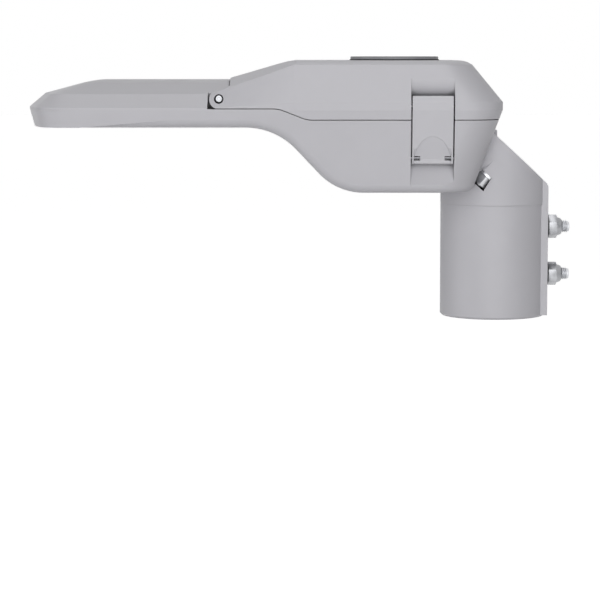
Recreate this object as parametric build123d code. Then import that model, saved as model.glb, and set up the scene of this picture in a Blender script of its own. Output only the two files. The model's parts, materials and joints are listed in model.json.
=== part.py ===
from build123d import *
import math
import os

# LED street light head with a vertical pole socket, all sizes in millimetres.
# Origin: centre of the pole socket's mouth. +Z up, the light head's nose points to -X.

# Pole socket and neck
pole_bore = 80.0             # inside diameter, for a 76 mm pole top
sleeve_wall = 3.0
socket_depth = 94.0          # from the mouth to the pole stop
mouth_chamfer = 1.6
pad_width = 42.0             # flat boss down the back of the sleeve, for the clamp screws
pad_proud = 0.1
pad_start = 1.4              # the pad ends this far above the mouth
neck_half_width = 43.9       # above the sleeve the neck is a little flatter at its sides
neck_corner = 42.0
neck_start = 92.0
neck_wall = 6.0
neck_front_wall = 5.0
roof_angle = 42.4            # the neck's sloping top, from level
roof_rise = 147.1            # height where the roof plane crosses the pole's axis
roof_edge_radius = 6.5
rim_height = 152.6           # top of the neck's rim against the body
rim_face = -0.5              # the rim's outer face, from the pole's axis
cable_way = 43.0             # width of the passage inside the neck

# Clamp screws in the pad and the studs that hold the neck to the body
thread = 10.0
nut_flats = 17.0
nut_height = 6.8
nut_collar = 4.2             # rounded locking end of the clamp nuts
neck_nut_height = 8.4
clamp_washer = 2.2           # thickness of the sealing washers under the clamp nuts
clamp_washer_diameter = 18.0
nut_turn = 7.0               # degrees, as the clamp nuts were left
clamp_heights = (33.8, 72.5)
clamp_end = 62.4             # outer ends of the clamp screws, from the pole's axis
washer_diameter = 20.5
washer_thickness = 2.0
stud_offset = 33.5           # stud axis from the middle plane
stud_depth = 27.5            # washer seat below the roof plane
stud_from_axis = 14.9        # stud axis along the roof, down the slope from the pole's axis
stud_tail = 1.2              # thread that shows past the nut
stud_clearance = 0.5
web_thickness = 11.0         # neck between the washer and the body's ear
lug_radius = 11.5
notch_clearance = 0.5
end_gap = 0.6                # past the studs' ends
ear_thickness = 10.0
ear_inner = 24.5
ear_outer = 41.0
ear_reach = 60.0             # the ears start this far inside the body and are trimmed to its wall

# Outer body, shared by the lower casting and the cover
body_width = 186.0
nose_reach = 376.7           # nose from the pole's axis, at the belt
rear_reach = 1.7
belt_z = 169.5
belt_height = 6.0
nose_bow = 250.0             # radius of the bowed front
nose_corner = 27.0
rear_corner = 30.0
side_lean = 8.0              # degrees from upright, below the belt
rear_lean = 19.8
nose_lean = 15.3
head_bottom_z = 156.0
bowl_bottom_z = 104.7
bowl_slope = 46.7            # steepest part of the bowl's front
bowl_slope_start = 177.3     # where that slope would meet the head's underside
bowl_upper_radius = 54.0
bowl_lower_radius = 48.0
bowl_edge_radius = 7.0
bowl_round_start = 170.0     # every bend of the lower edge behind this is the bowl's
crisp_end = 330.0            # the lower edge is crisp round the nose, up to here
round_start = 230.0          # and fully rounded from here on
body_wall = 3.2

# Upper side of the light head: a narrow upright band, two bevels and a flat
head_band = 1.9
bevel_z = 182.0
bevel_inset = 14.2
nose_bevel_inset = 12.8      # the same bevel at the nose
head_top_z = 192.3
shoulder_inset = 50.8        # where the upper bevel would meet the flat top
shoulder_soften = (0.18, 0.12)

# Cover over the gear compartment
deck_z = 208.0
deck_edge_z = 204.8
deck_rear_inset = 24.3       # how far the rear wall leans in, belt to deck edge
deck_side_inset = 4.6
deck_round = 9.4
cover_wall = 3.0
ramp_start = 219.4           # where the ramp's plane leaves the head's top, from the pole's axis
ramp_end = 165.6
ramp_radius = 56.0
front_line = 228.0           # the cover's side begins to rise from the head's bevel here
front_line_end = 163.0

# Parting of cover and lower casting
parting_front_z = 170.4
parting_rear_z = 161.7
parting_step_front = 174.9
parting_step_rear = 152.6
parting_radius = 20.0
parting_gap = 0.6
slit_x = 213.2               # front edge of the cover, from the pole's axis
slit_gap = 1.1
rim_width = 5.2              # from the outer wall to the gasket
rim_inner = 2.2              # from the gasket to the opening
gasket_width = 3.0
gasket_height = 3.2
gasket_gap = 0.3
groove_clearance = 0.1
rim_depth = 6.0
front_rim_x = 203.0          # middle of the seal's front run

# Cover hinge
hinge_x = 221.4
hinge_z = 178.2
hinge_lug_radius = 7.5
hinge_pocket_radius = 8.7
hinge_side_inset = 18.0      # from the body's side to the pockets' inner walls
hinge_side_gap = 0.5
hinge_web = 3.2
hinge_thread = 4.0
hinge_head = 6.6
hinge_head_height = 2.6
hinge_head_room = 0.4
hinge_running_gap = 0.06
bush_wall = 1.0
relief_gap = 0.5             # between the cover's front edge and the circle of the head's edge
hinge_grip = 9.0

# Side latches
latch_x = 54.8               # middle of the levers, from the pole's axis
latch_width = 31.8
latch_gap = 1.1
latch_top_z = 180.8
latch_bottom_z = 128.0
latch_thickness = 3.2
latch_pivot_z = 132.4
latch_pivot_in = 9.0         # pivot inside the belt's outer face
latch_pin = 2.0
latch_boss = 3.4
latch_running_gap = 0.06
latch_side_wall = 5.0
latch_pocket_depth = 15.5
upper_scoop_depth = 8.5
lower_pocket_depth = 15.5
upper_scoop_z = 196.0
lower_scoop_z = 110.0
keeper_z = 172.5
keeper_in = 7.0              # keeper pin inside the belt's outer face
keeper_pin = 3.0
hook_gap = 0.55
hook_past = 0.8              # the hook reaches this far past the keeper's middle
hook_thickness = 2.6
window_width = 5.0
window_height = 3.4
window_ramp = 6.5            # the windows' upper faces slope out over this height
window_edge = 1.3
dish_top_z = 149.2
dish_depth = 1.5             # at the lever's lower end

# Blanking cap on the deck
cap_x = 81.4
cap_diameter = 71.4
cap_height = 2.3
cap_chamfer = 0.5
cap_seal_diameter = 72.6
cap_seal_thickness = 0.8
cap_thread = 44.0
cap_thread_length = 13.0
cap_hole_clearance = 0.4
cap_nut_flats = 56.0
cap_nut_height = 6.0

# Light unit, seen from below
frame_front = 360.0
frame_rear = 221.5
frame_side_inset = 11.0      # from the body's side to the frame
frame_corner = 26.0
frame_thickness = 2.0
frame_recess = 2.2           # the frame sits this far inside the head's underside
frame_lap = 9.0              # frame's margin outside the glass
glass_lap = 8.0              # glass held under the frame and against its seal
glass_thickness = 4.0
glass_seal = 1.0
fit_gap = 0.3
board_z = 174.0              # the ribs' lower faces, where the board seats
board_thickness = 1.6
board_margin = 3.0
board_edge = 5.0             # screws from the board's edges
rib_thickness = 3.0
rib_pitch = 13.0
skin = 4.2
lens_pitch = 24.0            # along the light head; across it the lenses share the board's width
lens_plate_gap = 3.0         # between the two lens plates
lens_screw_gap = 1.3         # from the plates to the board screws' heads
lens_columns = 4
lens_rows = 4
lens_plate = 3.0
lens_radius = 9.0
lens_drop = 4.2
lens_rear_gap = 2.0
chip_size = 3.6
chip_height = 0.7
small_screw = 4.0
small_head = 7.4
small_head_height = 2.4

# Gear compartment
tray_front = 113.0
tray_rear = 43.5
tray_half = 66.0
tray_thickness = 2.0
tray_margin = 5.0            # screws from the tray's edges
tray_boss = 6.0
tray_boss_radius = 5.0
driver_length = 112.0
driver_width = 50.0
driver_height = 33.0
driver_flange = 8.0
driver_flange_thickness = 3.0
gland_thread = 20.0
gland_flats = 24.0
gland_z = 130.0
breather_x = 72.0
breather_thread = 12.0
seat_gap = 0.2
lead_hole = 6.0              # leads pass from the gear compartment up to the light board
lead_start = (-190.0, 163.0)
lead_end = (-245.0, 171.0)
earth_x = 34.0
earth_boss = 8.0

half_width = body_width / 2
hinge_side = half_width - hinge_side_inset
head_edge_z = belt_z + head_band
sleeve_radius = pole_bore / 2 + sleeve_wall
belt_top = belt_z + belt_height
frame_half = half_width - frame_side_inset
far = 400.0


# Mirrors a solid to the other side of the middle plane
def other_side(shape):
    return mirror(shape, about=Plane.XZ)


# A face in the side view, extruded equally to both sides of the middle plane
def side_prism(face, half):
    return extrude(Plane.XZ * face, half, both=True)


def rounded(front, rear, half, corner, z):
    face = RectangleRounded(rear - front, 2 * half, corner)
    return Pos((front + rear) / 2, 0, z) * face


# Outline of the body seen from above, with its bowed front
def plan(z, nose, rear, half, nose_radius, rear_radius):
    bow_end = nose + nose_bow - math.sqrt(nose_bow ** 2 - half ** 2)
    front = ThreePointArc((bow_end, half), (nose, 0), (bow_end, -half))
    rest = Polyline((bow_end, -half), (rear, -half), (rear, half), (bow_end, half))
    face = make_face(front + rest)
    face = fillet(face.vertices().sort_by(Axis.X)[:2], nose_radius)
    face = fillet(face.vertices().sort_by(Axis.X)[-2:], rear_radius)
    return Pos(0, 0, z) * face


# Outline below the belt, where every wall leans inwards
def lower_plan(z, inset=0.0):
    drop = belt_z - z
    return plan(
        z,
        -nose_reach + drop * math.tan(math.radians(nose_lean)) + inset,
        rear_reach - drop * math.tan(math.radians(rear_lean)) - inset,
        half_width - drop * math.tan(math.radians(side_lean)) - inset,
        nose_corner - 3,
        rear_corner - inset,
    )


def rear_wall_x(z):
    return rear_reach - (belt_z - z) * math.tan(math.radians(rear_lean))


def side_wall_y(z):
    if z > belt_top:
        return half_width - (z - belt_top) * deck_side_inset / (deck_edge_z - belt_top)
    if z < belt_z:
        return half_width - (belt_z - z) * math.tan(math.radians(side_lean))
    return half_width


# The lower casting's side profile, from the head's underside down into the bowl
def bowl_profile(inset=0.0, top=belt_z):
    slope = math.radians(bowl_slope)
    shift = inset * math.tan(slope / 2)
    start = -bowl_slope_start + shift
    end = start + (head_bottom_z - bowl_bottom_z) / math.tan(slope)
    high, low = head_bottom_z + inset, bowl_bottom_z + inset
    under = FilletPolyline(
        (-far, high), (start, high), (end, low), (far / 4, low),
        radius=[bowl_upper_radius + inset, bowl_lower_radius - inset],
    )
    over = Polyline((far / 4, low), (far / 4, top), (-far, top), (-far, high))
    return make_face(under + over)


def lower_body():
    walls = loft([lower_plan(bowl_bottom_z - 1), lower_plan(belt_z)], ruled=True)
    body = walls & side_prism(bowl_profile(), far / 2)
    underside = body.faces().filter_by(lambda f: f.normal_at().Z < -0.5)
    rim = ShapeList([e for f in underside for e in f.edges() if e.geom_type != GeomType.LINE])
    bowl_rim = rim.filter_by(lambda e: e.center().X > -bowl_round_start)
    return fillet(bowl_rim, bowl_edge_radius) + (body & crisp_zone())


# Side-on wedge over the nose, in which the lower edge stays crisp and then fades into the round
def crisp_zone():
    low, high = head_bottom_z, head_bottom_z + bowl_edge_radius + 1
    points = [(-far, low - 1), (-crisp_end, low - 1), (-crisp_end, low), (-round_start, high),
              (-round_start, belt_z), (-far, belt_z)]
    return side_prism(make_face(Polyline(*points, close=True)), far / 2)


# Bevelled upper side of the light head
def head_upper():
    run = shoulder_inset - bevel_inset
    rise = head_top_z - bevel_z
    before, after = shoulder_soften
    soft = [
        (head_top_z - rise * before, shoulder_inset - run * before),
        (head_top_z - rise * before * 0.3, shoulder_inset + run * after * 0.1),
        (head_top_z, shoulder_inset + run * after),
    ]
    levels = [(belt_z, 0.0, 0.0), (head_edge_z, 0.0, 0.0), (bevel_z, bevel_inset, nose_bevel_inset)]
    levels += [(z, inset, inset) for z, inset in soft]
    faces = [
        plan(z, -nose_reach + nose, rear_reach - inset / 4, half_width - inset,
             max(nose_corner - inset, 9.0), rear_corner - 12)
        for z, inset, nose in levels
    ]
    return loft(faces, ruled=True)


# Walls and deck over the gear compartment, without the front ramp
def deck_body(inset=0.0):
    front = -nose_reach + 60
    levels = [
        (belt_z - 14, -14 * math.tan(math.radians(rear_lean)), -14 * math.tan(math.radians(side_lean)), 0),
        (belt_z, 0.0, 0.0, 0.0),
        (belt_top, 0.0, 0.0, 0.0),
        (deck_edge_z, -deck_rear_inset, -deck_side_inset, 4.0),
        (deck_edge_z + (deck_z - deck_edge_z) * 0.56, -deck_rear_inset - deck_round * 0.34,
         -deck_side_inset - deck_round * 0.34, 6.0),
        (deck_edge_z + (deck_z - deck_edge_z) * 0.87, -deck_rear_inset - deck_round * 0.67,
         -deck_side_inset - deck_round * 0.67, 8.0),
        (deck_z, -deck_rear_inset - deck_round, -deck_side_inset - deck_round, 10.0),
    ]
    faces = []
    for z, rear, side, corner in levels:
        height = z - inset if z > belt_top else z
        faces.append(plan(height, front, rear_reach + rear - inset, half_width + side - inset,
                          nose_corner, rear_corner - corner - inset))
    return loft(faces, ruled=True)


# Height of the ramp's crown, from the head's flat top up to the deck
def ramp_height(x):
    slope = (deck_z - head_top_z) / (ramp_start - ramp_end)
    turn = math.atan(slope)
    tangent = ramp_radius * math.tan(turn / 2)
    low, high = -ramp_start, -ramp_end
    if x <= low - tangent:
        return head_top_z
    if x < low + tangent * math.cos(turn):
        return head_top_z + ramp_radius - math.sqrt(ramp_radius ** 2 - (x - low + tangent) ** 2)
    if x <= high - tangent * math.cos(turn):
        return head_top_z + (x - low) * slope
    if x < high + tangent:
        return deck_z - ramp_radius + math.sqrt(ramp_radius ** 2 - (high + tangent - x) ** 2)
    return deck_z


# The ramp, where the head's bevels grow into the cover's upright sides
def ramp_body(inset=0.0):
    stations = [-front_line - 30, -front_line, -220, -212, -205, -196, -186, -176, -168, -front_line_end]
    sections = []
    for x in stations:
        grow = min(max((x + front_line) / (front_line - front_line_end), 0.0), 1.0)
        top_half = (half_width - shoulder_inset) * (1 - grow)
        top_half += (half_width - deck_side_inset - deck_round) * grow - inset
        edge_half = (half_width - bevel_inset) * (1 - grow) + (half_width - deck_side_inset) * grow - inset
        edge_z = bevel_z * (1 - grow) + deck_edge_z * grow - inset * 0.6
        foot_z = head_edge_z * (1 - grow) + belt_top * grow
        sections.append((x, top_half, ramp_height(x) - inset, edge_half, edge_z, half_width - inset, foot_z))
    past = 14.0
    before, last = sections[-2], sections[-1]
    step = past / (last[0] - before[0])
    wide = [last[i] + (last[i] - before[i]) * step for i in range(7)]
    wide[1] += 2.0
    wide[2] += 1.5
    wide[3] += 1.5
    wide[5] += 1.5
    sections.append(tuple(wide))
    sections.append((60.0, far / 4, deck_z + 20, far / 4 + 5, deck_z + 10, far / 4 + 8, belt_top))
    faces = []
    for x, top_half, top_z, edge_half, edge_z, foot_half, foot_z in sections:
        right = [(foot_half, belt_z - 40), (foot_half, foot_z), (edge_half, edge_z), (top_half, top_z)]
        left = [(-y, z) for y, z in reversed(right)]
        points = [(x, y, z) for y, z in right + left]
        faces.append(make_face(Polyline(*points, close=True)))
    return loft(faces, ruled=True)


# Side view of the parting line, from the light head to the rear
def parting_wire(lift=0.0):
    return FilletPolyline(
        (-far, parting_front_z + lift), (-parting_step_front, parting_front_z + lift),
        (-parting_step_rear, parting_rear_z + lift), (far / 4, parting_rear_z + lift),
        radius=parting_radius,
    )


def above_parting(front, lift=0.0, top=deck_z + 30):
    edge = parting_wire(lift)
    box = Polyline((far / 4, parting_rear_z + lift), (far / 4, top), (-far, top),
                   (-far, parting_front_z + lift))
    face = make_face(edge + box)
    keep = Pos(-front + far, 0) * Rectangle(2 * far, 4 * far)
    return face & keep


def parting_band(low, high, front):
    return above_parting(front, low) - above_parting(front, high)


# Plan of the sealed zone inside the rim, stepping in round the latch pockets
def sealed_zone(inset):
    outline = lower_plan(parting_rear_z, inset)
    zone = Pos(0, 0, -parting_rear_z) * outline
    front = -front_rim_x - gasket_width / 2 - rim_width + inset
    zone = zone & (Pos(front + far, 0) * Rectangle(2 * far, 2 * far))
    reach = half_width - latch_pocket_depth - inset
    notch_width = latch_width + 2 * latch_gap + 2 * inset
    for side in (-1, 1):
        notch = Rectangle(notch_width, far)
        zone = zone - Pos(-latch_x, side * (reach + far / 2)) * notch
    return zone


# The upper scoop's curve, from deep behind the lever's top out to the wall
def scoop_curve():
    height = upper_scoop_z - latch_top_z
    radius = (height ** 2 + upper_scoop_depth ** 2) / (2 * upper_scoop_depth)
    steps = 10
    curve = []
    for k in range(steps + 1):
        z = latch_top_z + height * k / steps
        dip = radius - math.sqrt(radius ** 2 - (upper_scoop_z - z) ** 2)
        curve.append((side_wall_y(z) - dip, z))
    return curve


# Left latch pocket, as a side-on section swept along X; grow adds the wall round it
def latch_pocket(upper, grow=0.0):
    out = half_width + 20
    if upper:
        depth = half_width - latch_pocket_depth - grow
        points = [(out, parting_rear_z - 12), (depth, parting_rear_z - 12), (depth, latch_top_z + grow)]
        points += [(y - grow, z + grow) for y, z in scoop_curve()]
        points.append((out, upper_scoop_z + grow))
    else:
        depth = half_width - lower_pocket_depth - grow
        mouth = side_wall_y(lower_scoop_z) + 0.5
        points = [
            (out, parting_front_z + 5), (depth, parting_front_z + 5), (depth, latch_bottom_z - 1.0 - grow),
            (mouth, lower_scoop_z - grow), (out, lower_scoop_z - grow - 1),
        ]
    face = make_face(Polyline(*[(-latch_x, -y, z) for y, z in points], close=True))
    side = latch_side_wall if grow > 0 else 0.0
    return extrude(face, latch_width / 2 + latch_gap + side, dir=(1, 0, 0), both=True)


def both_sides(shape):
    return shape + other_side(shape)


# A rod along X, Y or Z from one end to the other
def rod_x(radius, start, end, y, z):
    return Pos((start + end) / 2, y, z) * Rot(0, 90, 0) * Cylinder(radius, abs(end - start))


def rod_y(radius, start, end, x, z):
    return Pos(x, (start + end) / 2, z) * Rot(90, 0, 0) * Cylinder(radius, abs(end - start))


def rod_z(radius, start, end, x, y):
    return Pos(x, y, (start + end) / 2) * Cylinder(radius, abs(end - start))


def block(x0, x1, y0, y1, z0, z1):
    return Pos((x0 + x1) / 2, (y0 + y1) / 2, (z0 + z1) / 2) * Box(x1 - x0, y1 - y0, z1 - z0)


# Frame of a neck stud: Z along the stud, up to the right, X down the roof's slope
def stud_plane(side):
    slope = math.radians(roof_angle)
    along = Vector(math.cos(slope), 0, -math.sin(slope))
    normal = Vector(math.sin(slope), 0, math.cos(slope))
    on_axis = Vector(0, side * stud_offset, roof_rise)
    origin = on_axis + along * stud_from_axis - normal * stud_depth
    return Plane(origin=origin, x_dir=along, z_dir=normal)


def roof_plane():
    slope = math.radians(roof_angle)
    normal = Vector(math.sin(slope), 0, math.cos(slope))
    return Plane(origin=(0, 0, roof_rise), x_dir=(math.cos(slope), 0, -math.sin(slope)), z_dir=normal)


def above_roof(drop=0.0):
    size = far
    return roof_plane() * (Pos(0, 0, size / 2 - drop) * Box(size, size, size))


# The solid space of the body behind its leaning rear wall, grown by a gap
def rear_space(gap):
    low, high = bowl_bottom_z - 60, belt_z + 60
    points = [
        (rear_wall_x(low) + gap, low), (rear_wall_x(high) + gap, high), (-far, high), (-far, low),
    ]
    return side_prism(make_face(Polyline(*points, close=True)), far / 2)


def hex_nut(flats, height, hole, collar=0.0):
    corner_radius = flats / math.sqrt(3)
    body = extrude(RegularPolygon(corner_radius, 6), height)
    chamfer_cone = Pos(0, 0, height / 2) * Cylinder(corner_radius * 0.985, height)
    body = body & chamfer_cone
    if collar > 0:
        crown = Pos(0, 0, height + collar / 2) * Cone(flats * 0.47, flats * 0.37, collar)
        body = body + crown
    return body - Pos(0, 0, (height + collar) / 2) * Cylinder(hole, height + collar + 2)


def pan_screw(shank, length, head, head_height):
    body = Pos(0, 0, -length / 2) * Cylinder(shank / 2, length)
    cap = Pos(0, 0, head_height / 2) * Cylinder(head / 2, head_height)
    cap = fillet(cap.edges().filter_by(GeomType.CIRCLE).sort_by(Axis.Z)[-1:], head_height * 0.45)
    socket = Pos(0, 0, head_height * 0.7) * extrude(RegularPolygon(head * 0.22, 6), head_height)
    return body + cap - socket


# Lower casting: light head and gear bowl in one piece
def make_housing():
    body = lower_body() + head_upper()
    cover_space = side_prism(above_parting(slit_x + slit_gap), far / 2)
    body = body - cover_space
    body = body - hinge_pockets()
    body = body - light_pocket() + light_ribs()
    body = body - gear_cavity() + gear_bosses()
    body = body - both_sides(latch_pocket(False) & block(-far, far, -far, 0, 0, parting_front_z + 4))
    body = body - gutter()
    body = body - stud_pockets() + neck_ears()
    return body - housing_holes()


def hinge_pockets():
    rear = -slit_x + slit_gap
    pocket = block(-hinge_x - hinge_pocket_radius, rear, hinge_side, far, parting_front_z, head_top_z)
    return both_sides(pocket)


def light_outline(inset, z):
    return rounded(-frame_front + inset, -frame_rear - inset, frame_half - inset, frame_corner - inset, z)


def optics_inset():
    return frame_lap + glass_lap


def light_pocket():
    glass_top = frame_low() + frame_thickness + glass_thickness + glass_seal
    frame_step = extrude(light_outline(0, head_bottom_z - 1), frame_thickness + frame_recess + 1)
    glass_step = extrude(light_outline(frame_lap, head_bottom_z - 1), glass_top - head_bottom_z + 1)
    inset = optics_inset()
    shoulder = bevel_z - 2.0
    lower = extrude(light_outline(inset, head_bottom_z), shoulder - head_bottom_z)
    front, rear, half = -frame_front + inset, -frame_rear - inset, frame_half - inset
    base = rounded(front, rear, half, 3, shoulder)
    slope = 26.0
    top = rounded(front + slope, rear - slope / 4, half - slope, 3, head_top_z - skin)
    return frame_step + glass_step + lower + loft([base, top], ruled=True)


def light_ribs():
    inset = optics_inset()
    front, rear, half = -frame_front + inset, -frame_rear - inset, frame_half - inset
    count = int((2 * half - rib_pitch) / rib_pitch) + 1
    ribs = None
    for k in range(count):
        y = (k - (count - 1) / 2) * rib_pitch
        rib = block(front - 1, rear + 1, y - rib_thickness / 2, y + rib_thickness / 2,
                    board_z, head_top_z - skin + 1)
        ribs = rib if ribs is None else ribs + rib
    for x, y in board_screw_places():
        ribs = ribs + rod_z(small_screw, board_z, head_top_z - skin + 1, x, y)
    inside = block(front - 1, rear + 1, -half - 1, half + 1, board_z, bevel_z - 2.0)
    slope = 26.0
    base = rounded(front - 1, rear + 1, half + 1, 3, bevel_z - 2.0)
    top = rounded(front - 1 + slope, rear + 1 - slope / 4, half + 1 - slope, 3, head_top_z - skin + 0.5)
    return ribs & (inside + loft([base, top], ruled=True))


def board_box():
    inset = optics_inset() + board_margin
    return -frame_front + inset, -frame_rear - inset, frame_half - inset


def board_screw_places():
    front, rear, half = board_box()
    columns = (front + board_edge, (front + rear) / 2, rear - board_edge)
    return [(x, y) for x in columns for y in (-half + board_edge, half - board_edge)]


def gear_cavity():
    walls = loft([lower_plan(bowl_bottom_z - 1, body_wall), lower_plan(belt_z, body_wall)], ruled=True)
    profile = side_prism(bowl_profile(body_wall, parting_front_z + 2), far / 2)
    front = -front_rim_x + gasket_width / 2 + rim_width - 1.6
    ledge = parting_rear_z - rim_depth
    room = walls & profile & block(front, far, -far, far, 0, ledge)
    opening = extrude(sealed_zone(rim_width + gasket_width + rim_inner), parting_front_z + 1)
    opening = opening & profile & block(-far, far, -far, far, ledge - 0.5, far)
    room = room + opening
    room = room - both_sides(latch_pocket(False, body_wall))
    return room - stud_pockets(body_wall)


def tray_places():
    ends = (-tray_front + tray_margin, -tray_rear - tray_margin)
    sides = (-tray_half + tray_margin, tray_half - tray_margin)
    return [(x, y) for x in ends for y in sides]


def gear_bosses():
    floor = bowl_bottom_z + body_wall
    bosses = None
    for x, y in tray_places():
        boss = rod_z(tray_boss_radius, floor - 1, floor + tray_boss, x, y)
        bosses = boss if bosses is None else bosses + boss
    return bosses + rod_z(tray_boss_radius, floor - 1, floor + earth_boss, -earth_x, 0)


# Rain gutter across the body in front of the seal
def gutter():
    front = -slit_x + 2.0
    rear = -front_rim_x - gasket_width / 2 - rim_inner
    floor = head_bottom_z + body_wall
    channel = block(front, rear, -hinge_side + 6, hinge_side - 6, floor, parting_front_z + 2)
    return channel - block(front - 1, rear + 1, -lead_hole, lead_hole, 0, parting_front_z - 0.6)


# Pockets in the body's rear wall for the neck's lugs and their nuts
def stud_pockets(grow=0.0):
    low = -(neck_nut_height + washer_thickness + stud_tail + end_gap + grow)
    high = web_thickness + seat_gap + grow
    radius = lug_radius + seat_gap * 2 + grow
    pocket = Pos(0, 0, (low + high) / 2) * Cylinder(radius, high - low)
    return on_studs(pocket)


# Ears on the body's rear wall, which the neck's studs screw into
def neck_ears():
    low = web_thickness + seat_gap
    ears = None
    for side in (-1, 1):
        plate = Pos(-ear_reach / 2, 0, low + ear_thickness / 2) * Box(ear_reach, ear_reach, ear_thickness)
        end = Pos(0, 0, low + ear_thickness / 2) * Cylinder(lug_radius - seat_gap, ear_thickness)
        inner, outer = sorted((side * ear_inner, side * ear_outer))
        ear = stud_plane(side) * (plate + end)
        ear = ear & block(-far, far, inner, outer, 0, far)
        ear = ear - rear_space(-body_wall / 2)
        ear = ear - stud_plane(side) * Cylinder(thread / 2, 4 * stud_depth)
        ears = ear if ears is None else ears + ear
    return ears


def housing_holes():
    holes = rod_z(breather_thread / 2, bowl_bottom_z - 5, bowl_bottom_z + body_wall + 5, -breather_x, 0)
    wall = gland_plane()
    holes = holes + wall * Cylinder(gland_thread / 2 + 0.2, 30)
    for side in (-1, 1):
        start = side * (hinge_side + 1)
        end = side * (hinge_side - hinge_grip - 1)
        holes = holes + rod_y(hinge_thread / 2, min(start, end), max(start, end), -hinge_x, hinge_z)
        y = side * (half_width - latch_pivot_in)
        holes = holes + rod_x(latch_pin / 2, -latch_x - keeper_length() / 2, -latch_x + keeper_length() / 2,
                              y, latch_pivot_z)
    for x, y in tray_places():
        top = bowl_bottom_z + body_wall + tray_boss
        holes = holes + rod_z(small_screw / 2, top - 5, top + 1, x, y)
    for x, y in board_screw_places():
        holes = holes + rod_z(small_screw / 2 - 0.5, board_z - 1, board_z + 6, x, y)
    for x, y in frame_screw_places():
        start = frame_low() + frame_thickness
        holes = holes + rod_z(small_screw / 2 - 0.5, start - 1, start + 7, x, y)
    top = bowl_bottom_z + body_wall + earth_boss
    holes = holes + rod_z(small_screw / 2, top - 6, top + 1, -earth_x, 0)
    return holes + lead_way()


# Slanted hole for the leads, from the gear compartment to the light board
def lead_way():
    run, rise = lead_end[0] - lead_start[0], lead_end[1] - lead_start[1]
    middle = Pos(lead_start[0] + run / 2, 0, lead_start[1] + rise / 2)
    turn = 90 + math.degrees(math.atan2(rise, -run))
    return middle * Rot(0, turn, 0) * Cylinder(lead_hole / 2, math.hypot(run, rise))


def keeper_length():
    return latch_width + 2 * latch_gap + 2 * latch_side_wall - 2.0


def gland_plane():
    lean = math.radians(rear_lean)
    x = rear_wall_x(gland_z)
    return Plane(origin=(x, 0, gland_z), x_dir=(0, 1, 0), z_dir=(math.cos(lean), 0, -math.sin(lean)))


def frame_screw_places():
    margin = frame_lap / 2
    front, rear, half = -frame_front + margin, -frame_rear - margin, frame_half - margin
    middle = (front + rear) / 2
    places = []
    for y in (-half, half):
        places += [(front + 18, y), (middle, y), (rear - 18, y)]
    for x in (front, rear):
        places += [(x, -half / 2.2), (x, half / 2.2)]
    return places


# Top cover of the gear compartment
def make_cover():
    outer = deck_body() & ramp_body()
    trimmed = outer & side_prism(above_parting(slit_x, parting_gap), far / 2)
    lug_face = Pos(-hinge_x, hinge_z) * Circle(hinge_lug_radius)
    reach = hinge_x - slit_x + 1
    lug_low = parting_front_z + parting_gap
    root = Rectangle(reach, 2 * hinge_lug_radius + 12)
    lug_face = lug_face + Pos(-hinge_x + reach / 2, hinge_z + 6) * root
    lug_face = lug_face & (Pos(-hinge_x, lug_low + 20) * Rectangle(60, 40))
    lug = outer & side_prism(lug_face, far / 2)
    lug = lug - side_prism(Rectangle(4 * far, 4 * far), hinge_side + hinge_side_gap)
    shell = trimmed + lug
    shell = shell - cover_cavity()
    shell = shell - hinge_relief()
    shell = shell - both_sides(latch_pocket(True))
    return shell - cover_holes() - gasket_body(groove_clearance)


# Room in front of the cover's edge, so that it swings clear of the head's rear edge
def hinge_relief():
    reach = hinge_x - slit_x - slit_gap
    flat_half = half_width - shoulder_inset * (1 - shoulder_soften[1])
    middle = math.hypot(head_top_z - hinge_z, reach) + relief_gap
    edge = math.hypot(bevel_z - hinge_z, reach) + relief_gap
    length = lug_inner() - flat_half
    bevel_half = half_width - bevel_inset
    end = edge + (middle - edge) * (bevel_half - lug_inner()) / (bevel_half - flat_half)
    cone = Pos(-hinge_x, -flat_half - length / 2, hinge_z) * Rot(90, 0, 0) * Cone(middle, end, length)
    return rod_y(middle, -flat_half, flat_half, -hinge_x, hinge_z) + both_sides(cone)


def cover_cavity():
    room = deck_body(cover_wall) & ramp_body(cover_wall)
    rib_front = -front_rim_x - gasket_width / 2 - 1.6
    rib_rear = -front_rim_x + gasket_width / 2 + 1.6
    high = room & side_prism(above_parting(-rib_rear, rim_depth), far / 2)
    high = high - both_sides(latch_pocket(True, cover_wall))
    zone = sealed_zone(rim_width + gasket_width + rim_inner)
    low = extrude(zone, parting_front_z + rim_depth + 1)
    low = low & block(-far, far, -far, far, parting_rear_z - 5, parting_front_z + rim_depth + 1) & room
    front = room & block(-far, rib_front, -hinge_side - hinge_side_gap, hinge_side + hinge_side_gap, 0, far)
    side_room = room & block(rib_front - 8, rib_front, -far, far, parting_front_z + rim_depth, far)
    return high + low + front + (side_room & block(-far, far, -hinge_side, hinge_side, 0, far))


def gasket_body(clearance=0.0):
    inset = rim_width - clearance
    ring = sealed_zone(inset) - sealed_zone(rim_width + gasket_width + clearance)
    low = gasket_gap if clearance == 0 else 0.0
    band = side_prism(parting_band(low, gasket_gap + gasket_height + clearance, far), far / 2)
    column = extrude(ring, parting_front_z + 12)
    return column & band


def bush_radius():
    return hinge_thread / 2 + hinge_running_gap + bush_wall


def lug_inner():
    return hinge_side + hinge_side_gap


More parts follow.
